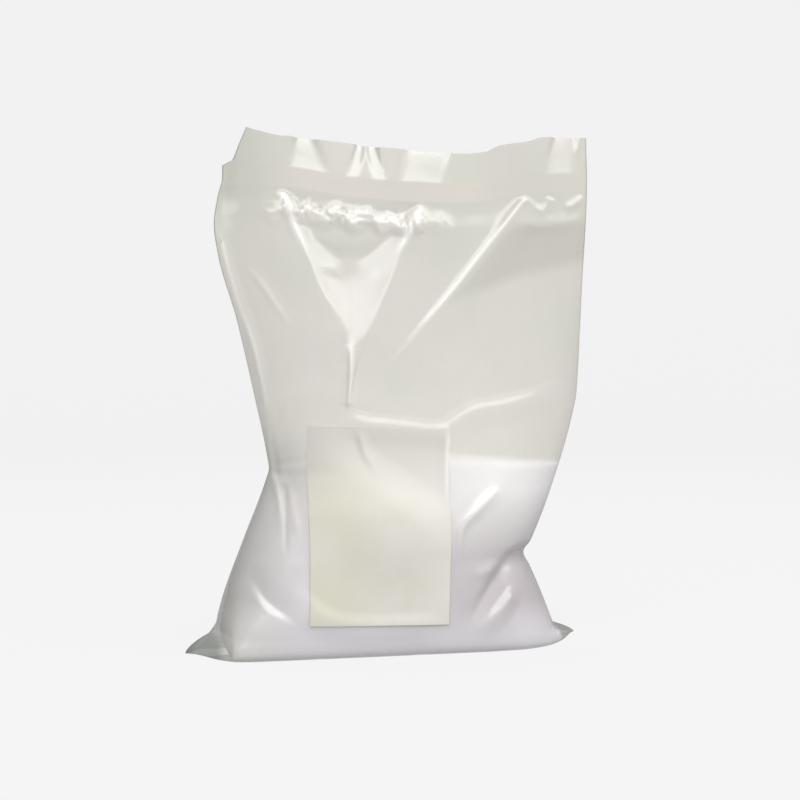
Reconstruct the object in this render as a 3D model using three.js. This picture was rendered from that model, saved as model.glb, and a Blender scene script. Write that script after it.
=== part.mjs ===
// A clear polythene bag of citric acid powder. The bag is a flat tube of film, sealed along its
// foot and welded across its top, and it stands on the powder that fills its lower third. A blank
// paper label is stuck on its front. Millimetres, +Z up, the front faces -Y, and the origin is on
// the floor under the middle of the bag.
import * as THREE from "three";

const { clamp, lerp, smoothstep, degToRad } = THREE.MathUtils;

// Driving dimensions.
const mouthFoot = 251; // height at which the front and the back of the bag have met
const weldBand = 11; // height of the heat-sealed band across the top
const lipAboveWeld = 19.5; // loose film above that band, up to the cut edge
const weldedThickness = 1.0; // of the band and the lip
const lipLeftStep = 4.5; // the lip starts this far inside the left end of the band
const lipLeftSlant = 8.5; // and leans in this much more on its way up to the cut edge

// The folded corners at the foot: how far each sticks out of the body, its height and half its
// depth where it leaves the body, and how far forward its tip lies.
const ears = {
  left: { reach: 17.2, height: 12, root: 30, forward: 9.5 },
  right: { reach: 13, height: 7, root: 40, forward: -1.5 },
};

const label = { width: 75, height: 104, thickness: 0.5, centreX: -16.4, centreZ: 69.4 };
const labelTurn = 1.4; // degrees that it is stuck on askew, clockwise
const labelGap = 0.6; // between the label and the film behind it

// Mesh density.
const columns = 50; // across the front, and again across the back
const footLevels = [0, 1.2, 3.4, 6.6, 10.6]; // the rows that round the foot
const bodyRows = 42; // above those, up to the weld
const weldRows = 2;
const lipRows = [2.6, 8, 14, lipAboveWeld]; // heights above the band
const labelColumns = 18;
const labelRows = 24;

// A smooth curve through [at, value] knots that never overshoots them.
function through(knots) {
  const rise = (i) => (knots[i + 1][1] - knots[i][1]) / (knots[i + 1][0] - knots[i][0]);
  const slope = knots.map((_, i) => {
    if (i === 0 || i === knots.length - 1) return 0;
    const [before, after] = [rise(i - 1), rise(i)];
    return before * after <= 0 ? 0 : (2 * before * after) / (before + after);
  });
  return (at) => {
    const next = knots.findIndex((knot) => knot[0] > at);
    if (next === 0) return knots[0][1];
    if (next < 0) return knots[knots.length - 1][1];
    const [low, high] = [knots[next - 1], knots[next]];
    const span = high[0] - low[0];
    const t = (at - low[0]) / span;
    return (
      low[1] * (1 + 2 * t) * (1 - t) ** 2 +
      high[1] * t * t * (3 - 2 * t) +
      span * t * (1 - t) * (slope[next - 1] * (1 - t) - slope[next] * t)
    );
  };
}

// The bag's outline and its depth, each against height.
const leftSide = through([
  [0, -99.4], [10, -98.8], [25, -95.4], [58, -83.8], [92, -71.2], [98, -69.6], [106, -70.8],
  [137, -77.6], [179, -87.6], [213, -97.7], [229, -99.7], [245, -97.3], [256, -94.8],
]);
const rightSide = through([
  [0, 96.8], [8, 94.4], [21, 88.9], [42, 79.6], [49, 76.2], [56, 80.2], [86, 93.4], [123, 106.2],
  [142, 110.6], [200, 114.2], [256, 117.3],
]);
const frontDepth = through([
  [0, 43.6], [1.2, 45], [3.4, 46.2], [8, 47], [30, 47.8], [55, 47.6], [72, 46], [90, 41.5],
  [105, 37.6], [125, 33], [160, 24.4], [200, 13.8], [235, 4.2], [mouthFoot, weldedThickness / 2],
]);
const backDepth = through([
  [0, 42], [1.2, 43.8], [3.4, 45.4], [8, 46.6], [30, 48.4], [62, 49.4], [95, 46.6], [125, 40],
  [160, 29.5], [200, 16.4], [235, 4.8], [mouthFoot, weldedThickness / 2],
]);
// The front of the foot stands a little skew: this share nearer at its right than in its middle.
const footSkew = through([[0, 0.05], [30, 0.04], [95, 0]]);
// A section is depth * (1 - |across|^power)^roundness: a lens near the top, boxy at the foot.
const power = {
  left: through([[0, 11], [12, 8], [30, 4.6], [98, 2.4], [160, 2.2], [mouthFoot, 2]]),
  right: through([[0, 6.4], [30, 3.4], [98, 2.4], [160, 2.2], [mouthFoot, 2]]),
};
const roundness = {
  left: through([
    [0, 0.27], [12, 0.36], [30, 0.42], [98, 0.5], [160, 0.62], [215, 0.85], [mouthFoot, 0.5],
  ]),
  right: through([[0, 0.7], [30, 0.52], [98, 0.5], [160, 0.62], [215, 0.85], [mouthFoot, 0.5]]),
};

// The welded mouth, against x: the height of the weld's foot, and how far the weld waves back.
const weldFoot = through([
  [-97, 254.2], [-59, 254], [-30, 250.5], [8, 248], [32, 247.5], [78, 253.5], [117, 256.5],
]);
const mouthWave = through([
  [-97, 6], [-86, 2.6], [-72, 0.6], [-48, 2.2], [-15, 1.8], [25, -1.5], [60, 1], [95, -1.5],
  [117, 0.5],
]);
// How far the lip leans back, in degrees: it ripples, and its left end stands upright.
const lipLean = through([
  [-92, 3], [-62, 9], [-54, 20], [-42, 20], [-34, 12], [-12, 15], [5, 13], [14, 21], [26, 21],
  [34, 11], [76, 5], [90, 9], [98, 17], [106, 17], [112, 7], [117, 4],
]);
// How much longer the lip is than lipAboveWeld, since its edge was cut by hand.
const lipCut = through([
  [-92, 4.8], [-84, 2.6], [-76, 0.6], [-62, -1.4], [-48, -0.9], [-30, 0.4], [-15, 0.6], [10, 0],
  [34, -1.2], [56, -2], [64, 0.4], [80, 0.8], [90, 3], [108, 2.5], [117, 1.8],
]);

// Creases of the film, as paths of [x, z]. A fold is a ridge, or a valley where rise is negative.
// Its flanks reach so far to the left and to the right of the path. Each pair of values is for the
// two ends of the path, and fade is the share of the path over which the crease dies out there.
const apex = [-31, 133.8]; // where the main creases of the front meet
const frontFolds = [
  // the long crest from the weld down to the apex
  {
    path: [[80, 254], [62, 232.5], [49, 217.5], [32, 198], [15.6, 180.6], [0, 164], [-12, 153]],
    rise: [2.6, 0.6], left: [24, 10], right: [8, 5], fade: [0.03, 0.4],
  },
  // along the left edge
  {
    path: [[-98, 234], [-93, 210], [-87, 189], [-80, 168], [-75, 145], [-71, 118], [-67, 78], [-68, 52]],
    rise: [1.8, 1.4], left: [6, 6], right: [7, 7], fade: [0.1, 0.3],
  },
  // the funnel's rims, out of the weld, and the crest below it
  {
    path: [[-63, 253], [-57.2, 236], [-48, 213]],
    rise: [1.4, 0.5], left: [6, 6], right: [5, 5], fade: [0.05, 0.4],
  },
  {
    path: [[17, 249], [6, 226], [0, 215]],
    rise: [1.3, 0.5], left: [6, 6], right: [5, 5], fade: [0.1, 0.4],
  },
  {
    path: [[-26.5, 174], [-31, 132]],
    rise: [1.4, 2.2], left: [5, 5], right: [5, 5], fade: [0.4, 0.08],
  },
  // right of the label
  {
    path: [[49, 89], [34, 73.7], [28, 67], [26.3, 60], [26.8, 40]],
    rise: [2.2, 1], left: [9, 4], right: [7, 4], fade: [0.25, 0.3],
  },
  // from the notch at the right down to the foot
  {
    path: [[80, 49], [72, 52], [64, 51.3], [56.7, 47.6], [45.6, 36], [35, 22.3], [28.7, 11.7]],
    rise: [-5.4, -3.2], left: [16, 15], right: [6, 5], fade: [0, 0.4],
  },
  // at the lower left
  {
    path: [[-90, 50], [-79, 40], [-69, 29], [-60, 23], [-50, 19]],
    rise: [-3, -3], left: [9, 9], right: [7, 7], fade: [0.3, 0.5],
  },
  // small arcs under the right end of the weld
  {
    path: [[70, 239], [80, 236], [90, 235.5], [103, 238], [114, 243]],
    rise: [1.6, 1.4], left: [8, 8], right: [6, 6], fade: [0.3, 0.3],
  },
];
const backFolds = [
  {
    path: [[-70, 250], [-30, 190], [0, 140]],
    rise: [3.2, 3.2], left: [14, 14], right: [14, 14], fade: [0.1, 0.8],
  },
  {
    path: [[85, 250], [52, 200], [4, 142]],
    rise: [-4, -4], left: [15, 15], right: [15, 15], fade: [0.1, 0.6],
  },
  {
    path: [[12, 252], [8, 200], [4, 150]],
    rise: [3, 3], left: [16, 16], right: [16, 16], fade: [0.1, 0.7],
  },
  {
    path: [[80, 49], [55, 54], [30, 44], [12, 20]],
    rise: [-6, -6], left: [13, 13], right: [13, 13], fade: [0, 0.8],
  },
  {
    path: [[-72, 98], [-50, 92], [-22, 102]],
    rise: [-4, -4], left: [12, 12], right: [12, 12], fade: [0, 0.8],
  },
];
// A shelf is a step outwards on the left of its path, or on the right where it is negative. The
// step is taken over its run, and drifts back over twice as much.
const frontShelves = [
  {
    path: [[105, 145], [73, 142], [38, 135], [26, 129], [20, 125.6], [2, 126.6], [-23, 129.4], apex],
    step: 1.3, run: 6, fade: [0.3, 0.1],
  },
  {
    path: [[42, 70], [30, 77], [18, 87], [6, 96], [-6, 104], [-17, 111], [-26, 121], apex],
    step: 4.4, run: 24, fade: [0.3, 0.4],
  },
  { path: [[59, 38], [50, 30], [44.5, 23.5], [38, 16.5], [28, 10]], step: 3, run: 5, fade: [0.15, 0.35] },
  { path: [[24, 25], [-10, 24.5], [-36, 26], [-50, 33], [-56, 44]], step: 1.2, run: 7, fade: [0.2, 0.3] },
];
const backShelves = [
  { path: [[-80, 128], [-30, 136], [20, 124], [100, 138]], step: -3.4, run: 14, fade: [0.2, 0.2] },
];
// The pinched funnel under the weld: its rims against height, and how far its floor lies in front
// of the plain film, which is behind it where this is negative.
const funnel = {
  leftRim: through([
    [128, -32.5], [134, -32], [158, -30.6], [172, -32.5], [186, -37], [194, -41.5], [214, -49.5],
    [227, -54.5], [240, -59], [252, -62],
  ]),
  rightRim: through([
    [128, -29], [134, -29.4], [143, -28.2], [156.5, -24], [166, -20], [177.5, -14.5], [189, -10],
    [211.4, -0.2], [221, 4], [233, 11], [246.5, 16], [252, 18],
  ]),
  floor: through([
    [128, 0], [136, 1], [150, 1.4], [165, 0.6], [209, -6.6], [214, -6.6], [238, -2.2], [251, -0.5],
  ]),
};
// The film comes out of the weld gathered: it swells over this length, between these two places.
const gathering = { left: -61, right: 16, swell: 2.9, length: 9, settles: 12 };

// The nearest place on a path: how far off it is, on which side, and how far along the path.
function nearestOn(path, x, z) {
  let best = { off: Infinity, side: 1, along: 0 };
  path.slice(1).forEach(([x1, z1], i) => {
    const [x0, z0] = path[i];
    const [dx, dz] = [x1 - x0, z1 - z0];
    const t = clamp(((x - x0) * dx + (z - z0) * dz) / (dx * dx + dz * dz), 0, 1);
    const off = Math.hypot(x - x0 - t * dx, z - z0 - t * dz);
    if (off < best.off) {
      const side = Math.sign(dx * (z - z0) - dz * (x - x0)) || 1;
      best = { off, side, along: (i + t) / (path.length - 1) };
    }
  });
  return best;
}

// 1 along the middle of a crease, and down to 0 over the given shares at its two ends.
function fading(along, fadeIn, fadeOut) {
  const start = fadeIn > 0 ? smoothstep(along, 0, fadeIn) : 1;
  const end = fadeOut > 0 ? smoothstep(1 - along, 0, fadeOut) : 1;
  return start * end;
}

// A crest or a valley whose flanks die out at their reach.
function fold({ path, rise, left, right, fade }, x, z) {
  const { off, side, along } = nearestOn(path, x, z);
  const reach = lerp(...(side > 0 ? left : right), along);
  return off < reach ? lerp(...rise, along) * fading(along, ...fade) * (1 - off / reach) ** 1.6 : 0;
}

function shelf({ path, step, run, fade }, x, z) {
  const { off, side, along } = nearestOn(path, x, z);
  const drift = smoothstep(off, 0, run) * (1 - smoothstep(off, run, 3 * run));
  return side === Math.sign(step) ? Math.abs(step) * fading(along, ...fade) * drift : 0;
}

function funnelDent(x, z) {
  const [left, right] = [funnel.leftRim(z), funnel.rightRim(z)];
  const off = Math.min(Math.abs(x - (left + right) / 2) / ((right - left) / 2), 1);
  return funnel.floor(z) * (1 - off ** 2);
}

function gathers(x, z) {
  const down = weldFoot(x) - z;
  const { left, right, swell, length, settles } = gathering;
  const over = smoothstep(x, left - 4, left + 3) * (1 - smoothstep(x, right - 4, right + 4));
  return swell * over * smoothstep(down, 0, length) * (1 - smoothstep(down, length, length + settles));
}

// How far the creases push the film out of its plain form, on the front (-1) or the back (1).
function creases(face, x, z) {
  const sum = (list, form) => list.reduce((total, one) => total + form(one, x, z), 0);
  return face < 0
    ? funnelDent(x, z) + gathers(x, z) + sum(frontFolds, fold) + sum(frontShelves, shelf)
    : sum(backFolds, fold) + sum(backShelves, shelf);
}

// A point of the body's film. across runs from -1 at the left edge to 1 at the right edge, and
// level from 0 on the floor to mouthFoot at the weld.
function bodyPoint(face, across, level) {
  const side = across < 0 ? "left" : "right";
  const x = lerp(leftSide(level), rightSide(level), (1 + across) / 2);
  const z = level + (weldFoot(x) - mouthFoot) * smoothstep(level, mouthFoot / 2, mouthFoot);
  const swell = (1 - Math.abs(across) ** power[side](level)) ** roundness[side](level);
  const depth = face < 0 ? frontDepth(level) * (1 + footSkew(level) * across) : backDepth(level);
  const calmAtFoot = smoothstep(1 - Math.abs(across), 0, 0.06) * smoothstep(level, 0, 12);
  const calmAtWeld = 1 - smoothstep(level, mouthFoot - 3, mouthFoot);
  const relief = creases(face, x, z) * calmAtFoot * calmAtWeld;
  const half = Math.max(depth * swell + relief, (weldedThickness / 2) * swell);
  const gather = mouthWave(x) * smoothstep(level, mouthFoot - 45, mouthFoot);
  const tip = ears[side].forward * Math.abs(across) ** 12 * (1 - smoothstep(level, 0, 30));
  const stretch = earStretch(ears[side], across, half, level);
  return new THREE.Vector3(x + stretch, face * half + gather - tip, z);
}

// The corners of the flat tube stick out at the foot as two folded ears.
function earStretch({ reach, height, root }, across, half, level) {
  if (level >= height || half >= root) return 0;
  const spread = (1 - (level / height) ** 1.6) ** 0.9 * (1 - (half / root) ** 0.6);
  return Math.sign(across) * reach * spread;
}

// A point of the welded band and the lip above it, at a length of film above the weld's foot.
function mouthPoint(face, across, length) {
  const lip = Math.max(length - weldBand, 0);
  const inset = lipLeftStep * smoothstep(lip, 0, lipRows[0]) + lipLeftSlant * (lip / lipAboveWeld);
  const left = leftSide(mouthFoot + Math.min(length, weldBand)) + inset;
  const x = lerp(left, rightSide(mouthFoot), (1 + across) / 2);
  const lean = degToRad(lipLean(x));
  const film = lip * (1 + lipCut(x) / lipAboveWeld);
  const upright = Math.min(length, weldBand) + film * Math.cos(lean);
  const thickness = (face * weldedThickness * (1 - across ** 8)) / 2;
  return new THREE.Vector3(x, mouthWave(x) + film * Math.sin(lean) + thickness, weldFoot(x) + upright);
}

// Points at even distances along a line of points, the last one left out.
function evenly(line, count) {
  const lengths = [0];
  line.slice(1).forEach((point, i) => lengths.push(lengths[i] + point.distanceTo(line[i])));
  return Array.from({ length: count }, (_, i) => {
    const target = (lengths[line.length - 1] * i) / count;
    const next = lengths.findIndex((length) => length > target);
    const share = (target - lengths[next - 1]) / (lengths[next] - lengths[next - 1]);
    return line[next - 1].clone().lerp(line[next], share);
  });
}

// One ring of the bag: the front from left to right, then the back from right to left.
function ring(pointAt) {
  const samples = 180;
  return [-1, 1].flatMap((face) => {
    const line = Array.from({ length: samples + 1 }, (_, i) =>
      pointAt(face, face * Math.cos((Math.PI * i) / samples)));
    return evenly(line, columns);
  });
}

// A closed surface through rings of equal length. Each end is capped by strips from the front of
// its ring to the back: the point at a column is opposite the one at halves minus that column.
function closedLoft(rings, halves) {
  const around = rings[0].length;
  const index = [];
  const at = (row, column) => row * around + (column % around);
  for (let row = 0; row < rings.length - 1; row++) {
    for (let column = 0; column < around; column++) {
      const [a, b] = [at(row, column), at(row, column + 1)];
      const [c, d] = [at(row + 1, column), at(row + 1, column + 1)];
      index.push(a, b, d, a, d, c);
    }
  }
  const cap = (row, facingUp) => {
    for (let column = 0; column < Math.floor(halves / 2); column++) {
      const [a, b] = [at(row, column), at(row, column + 1)];
      const [c, d] = [at(row, halves - column), at(row, halves - column - 1)];
      const faces = [[a, b, d], [a, d, c]].filter((face) => new Set(face).size === 3);
      faces.forEach((face) => index.push(...(facingUp ? face : face.reverse())));
    }
  };
  cap(0, false);
  cap(rings.length - 1, true);
  const geometry = new THREE.BufferGeometry();
  const positions = rings.flat().flatMap((point) => point.toArray());
  geometry.setAttribute("position", new THREE.Float32BufferAttribute(positions, 3));
  geometry.setIndex(index);
  geometry.computeVertexNormals();
  return geometry;
}

function bagGeometry() {
  const footTop = footLevels[footLevels.length - 1];
  const levels = [
    ...footLevels,
    ...Array.from({ length: bodyRows }, (_, i) => lerp(footTop, mouthFoot, (i + 1) / bodyRows)),
  ];
  const lengths = [
    ...Array.from({ length: weldRows }, (_, i) => (weldBand * (i + 1)) / weldRows),
    ...lipRows.map((above) => weldBand + above),
  ];
  const body = levels.map((level) => ring((face, across) => bodyPoint(face, across, level)));
  const mouth = lengths.map((length) => ring((face, across) => mouthPoint(face, across, length)));
  return closedLoft([...body, ...mouth], 2 * columns);
}

// The front film at a given x and height, found by closing in on the right place across the bag.
function frontAt(x, z) {
  let [low, high] = [-1, 1];
  for (let step = 0; step < 24; step++) {
    const middle = (low + high) / 2;
    if (bodyPoint(-1, middle, z).x < x) low = middle;
    else high = middle;
  }
  return bodyPoint(-1, low, z);
}

// The label is a thin sheet that follows the front film.
function labelGeometry() {
  const [cos, sin] = [Math.cos(degToRad(labelTurn)), Math.sin(degToRad(labelTurn))];
  const rings = Array.from({ length: labelRows + 1 }, (_, row) => {
    const up = label.height * (row / labelRows - 0.5);
    const line = Array.from({ length: labelColumns + 1 }, (_, column) => {
      const along = label.width * (column / labelColumns - 0.5);
      return frontAt(label.centreX + along * cos + up * sin, label.centreZ + up * cos - along * sin);
    });
    const offset = (gap) => line.map((point) => new THREE.Vector3(point.x, point.y - gap, point.z));
    return [...offset(labelGap + label.thickness), ...offset(labelGap).reverse()];
  });
  return closedLoft(rings, 2 * labelColumns + 1);
}

function namedMesh(name, geometry, finish) {
  const mesh = new THREE.Mesh(geometry, new THREE.MeshStandardMaterial(finish));
  mesh.name = name;
  return mesh;
}

const part = new THREE.Group();
part.add(
  namedMesh("bag", bagGeometry(), { color: 0xd9d6cd, roughness: 0.25, metalness: 0 }),
  namedMesh("label", labelGeometry(), { color: 0xdedbcb, roughness: 0.5, metalness: 0 }),
);
export default part;
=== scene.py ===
import bpy
import numpy as np
from mathutils import Euler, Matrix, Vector, noise


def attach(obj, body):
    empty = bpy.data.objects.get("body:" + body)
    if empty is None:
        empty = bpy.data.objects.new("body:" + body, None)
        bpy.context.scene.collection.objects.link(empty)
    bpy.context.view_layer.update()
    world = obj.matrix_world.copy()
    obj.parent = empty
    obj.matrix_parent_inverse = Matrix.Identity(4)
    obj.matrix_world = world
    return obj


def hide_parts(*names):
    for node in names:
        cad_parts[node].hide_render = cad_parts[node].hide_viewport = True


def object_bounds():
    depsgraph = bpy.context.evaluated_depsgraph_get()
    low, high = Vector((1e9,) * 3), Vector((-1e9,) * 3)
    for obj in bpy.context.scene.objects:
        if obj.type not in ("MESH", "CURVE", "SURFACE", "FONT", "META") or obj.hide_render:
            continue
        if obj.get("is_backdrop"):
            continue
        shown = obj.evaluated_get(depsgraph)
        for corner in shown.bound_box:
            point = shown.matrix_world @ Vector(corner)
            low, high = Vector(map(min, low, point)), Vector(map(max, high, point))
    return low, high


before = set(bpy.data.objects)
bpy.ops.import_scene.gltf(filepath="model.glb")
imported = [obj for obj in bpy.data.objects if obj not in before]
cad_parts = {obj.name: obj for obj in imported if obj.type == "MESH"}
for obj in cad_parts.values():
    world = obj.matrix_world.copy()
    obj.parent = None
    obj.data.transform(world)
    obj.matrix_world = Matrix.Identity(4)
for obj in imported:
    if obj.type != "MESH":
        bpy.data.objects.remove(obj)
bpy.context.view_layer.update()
print("frame loaded:", ", ".join(sorted(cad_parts)))

mm = 0.001  # the forms below are worked out in millimetres


# Curves and colours

def toLinear(hexColour):
    channels = [int(hexColour[i : i + 2], 16) / 255 for i in (1, 3, 5)]
    return (*[c / 12.92 if c <= 0.04045 else ((c + 0.055) / 1.055) ** 2.4 for c in channels], 1.0)


def eased(value, low, high):  # 0 up to low, 1 from high on
    t = np.clip((value - low) / (high - low), 0, 1)
    return t * t * (3 - 2 * t)


def through(*knots):  # a smooth curve through (at, value) knots that never overshoots them
    at, value = np.array(knots, float).T
    rise = np.diff(value) / np.diff(at)
    slope = np.zeros(len(at))
    for i in range(1, len(at) - 1):
        before, after = rise[i - 1], rise[i]
        slope[i] = 2 * before * after / (before + after) if before * after > 0 else 0

    def curve(where):
        where = np.clip(where, at[0], at[-1])
        i = np.clip(np.searchsorted(at, where, side="right") - 1, 0, len(at) - 2)
        span = at[i + 1] - at[i]
        t = (where - at[i]) / span
        ends = value[i] * (1 + 2 * t) * (1 - t) ** 2 + value[i + 1] * t * t * (3 - 2 * t)
        return ends + span * t * (1 - t) * (slope[i] * (1 - t) - slope[i + 1] * t)

    return curve


def rounded(path, steps=14):  # the path as a smooth line through its points
    points = np.array(path, float)
    ends = np.vstack([2 * points[0] - points[1], points, 2 * points[-1] - points[-2]])
    line = []
    for a, b, c, d in zip(ends, ends[1:], ends[2:], ends[3:]):
        for t in np.arange(steps) / steps:
            line.append(0.5 * (2 * b + (c - a) * t + (2 * a - 5 * b + 4 * c - d) * t * t
                               + (3 * b - a - 3 * c + d) * t ** 3))
    return np.array([*line, points[-1]])


def nearestOn(line, x, z):  # how far off the line, on which side of it, and how far along it
    off = np.full(x.shape, np.inf)
    side = np.ones(x.shape)
    along = np.zeros(x.shape)
    for i, ((x0, z0), (x1, z1)) in enumerate(zip(line, line[1:])):
        dx, dz = x1 - x0, z1 - z0
        t = np.clip(((x - x0) * dx + (z - z0) * dz) / (dx * dx + dz * dz), 0, 1)
        distance = np.hypot(x - x0 - t * dx, z - z0 - t * dz)
        closer = distance < off
        off = np.where(closer, distance, off)
        side = np.where(closer, np.where(dx * (z - z0) - dz * (x - x0) >= 0, 1, -1), side)
        along = np.where(closer, (i + t) / (len(line) - 1), along)
    return off, side, along


def ripple(x, z, size, seed):  # soft random unevenness from -1 to 1, as wide as size
    flat = np.stack([x.ravel() / size, z.ravel() / size], axis=1)
    values = [noise.noise(Vector((a, b, seed))) for a, b in flat]
    return np.array(values).reshape(x.shape)


# The bag's form

bag = {
    "mouthFoot": 251,  # height at which the front and the back have met
    "weldBand": 11,  # height of the heat-sealed band
    "lip": 19.5,  # loose film above the band
    "weldedThickness": 0.5,
    "unevenness": 0.25, "unevennessWidth": 30,  # soft random relief over the whole film
    # the relief dies out at the sides, over this share of half the width, and this near to the
    # floor and to the weld
    "calmEdge": 0.06, "calmFoot": 12, "calmWeld": 3,
    "gatherHeight": 45,  # the film takes on the mouth's wave over this height below the weld
    "lipGap": 1.6,  # the lip's two layers stand this far apart at most
    "lipStep": 4.5, "lipStepOver": 2.6,  # the lip's left edge steps in above the band
    "lipTaper": 8.5,  # and runs inwards by this much up to the cut
    "lipEdge": 8,  # power that closes the lip's layers at its two sides
    "leftSide": through((0, -99.4), (10, -98.8), (25, -95.4), (58, -83.8), (92, -71.2), (98, -69.6),
                        (106, -70.8), (137, -77.6), (179, -87.6), (213, -97.7), (229, -99.7),
                        (245, -97.3), (256, -94.8)),
    "rightSide": through((0, 96.8), (8, 94.4), (21, 88.9), (42, 79.6), (49, 76.2), (56, 80.2),
                         (86, 93.4), (123, 106.2), (142, 110.6), (200, 114.2), (256, 117.3)),
    "frontDepth": through((0, 43.6), (1.2, 45), (3.4, 46.2), (8, 47), (30, 47.8), (55, 47.6),
                          (72, 46), (90, 41.5), (105, 37.6), (125, 33), (160, 24.4), (200, 13.8),
                          (235, 4.2), (251, 0.25)),
    "backDepth": through((0, 42), (1.2, 43.8), (3.4, 45.4), (8, 46.6), (30, 48.4), (62, 49.4),
                         (95, 46.6), (125, 40), (160, 29.5), (200, 16.4), (235, 4.8), (251, 0.25)),
    "footSkew": through((0, 0.05), (30, 0.04), (95, 0)),
    "leftPower": through((0, 11), (12, 8), (30, 4.6), (98, 2.4), (160, 2.2), (251, 2)),
    "rightPower": through((0, 6.4), (30, 3.4), (98, 2.4), (160, 2.2), (251, 2)),
    "leftRoundness": through((0, 0.27), (12, 0.36), (30, 0.42), (98, 0.5), (160, 0.62),
                             (215, 0.85), (251, 0.5)),
    "rightRoundness": through((0, 0.7), (30, 0.52), (98, 0.5), (160, 0.62), (215, 0.85),
                              (251, 0.5)),
    "weldFoot": through((-97, 254.2), (-59, 254), (-30, 250.5), (8, 248), (32, 247.5),
                        (78, 253.5), (117, 256.5)),
    "mouthWave": through((-97, 6), (-86, 2.6), (-72, 0.6), (-48, 2.2), (-15, 1.8), (25, -1.5),
                         (60, 1), (95, -1.5), (117, 0.5)),
    "lipLean": through((-92, 3), (-60, 10), (-38, 11), (-12, 14), (16, 11), (50, 9), (76, 5),
                       (98, 8), (117, 4)),
    # where the lip is tipped back: its left and right edge at the weld and at the cut, and how far
    "lipFacets": [((-58, -54), (-36, -43), 0.16, 3), ((-26, -19), (-19.5, -14), 0.17, 1.8),
                  ((-10.5, -13), (-3.5, -7), 0.17, 1.8), ((5, 9), (29, 33), 0.15, 3),
                  ((90, 97), (109, 112), 0.16, 3)],
    "lipCut": through((-92, 4.8), (-84, 2.6), (-76, 0.6), (-62, -1.4), (-48, -0.9), (-30, 0.4),
                      (-15, 0.6), (10, 0), (34, -1.2), (56, -2), (64, 0.4), (80, 0.8), (90, 3),
                      (108, 2.5), (117, 1.8)),  # how much longer the lip is at each place
    # the corners of the flat tube, folded into ears at the foot
    "ears": {-1: {"reach": 17.2, "height": 12, "root": 30, "forward": 9.5},
             1: {"reach": 13, "height": 7, "root": 40, "forward": -1.5}},
    "earCurve": (1.6, 0.9, 0.6),  # powers of an ear's slope upwards, its shoulder and its root
    "earTipPower": 12, "earTipHeight": 30,  # how near the edge and the floor it bends forward
}

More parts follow.
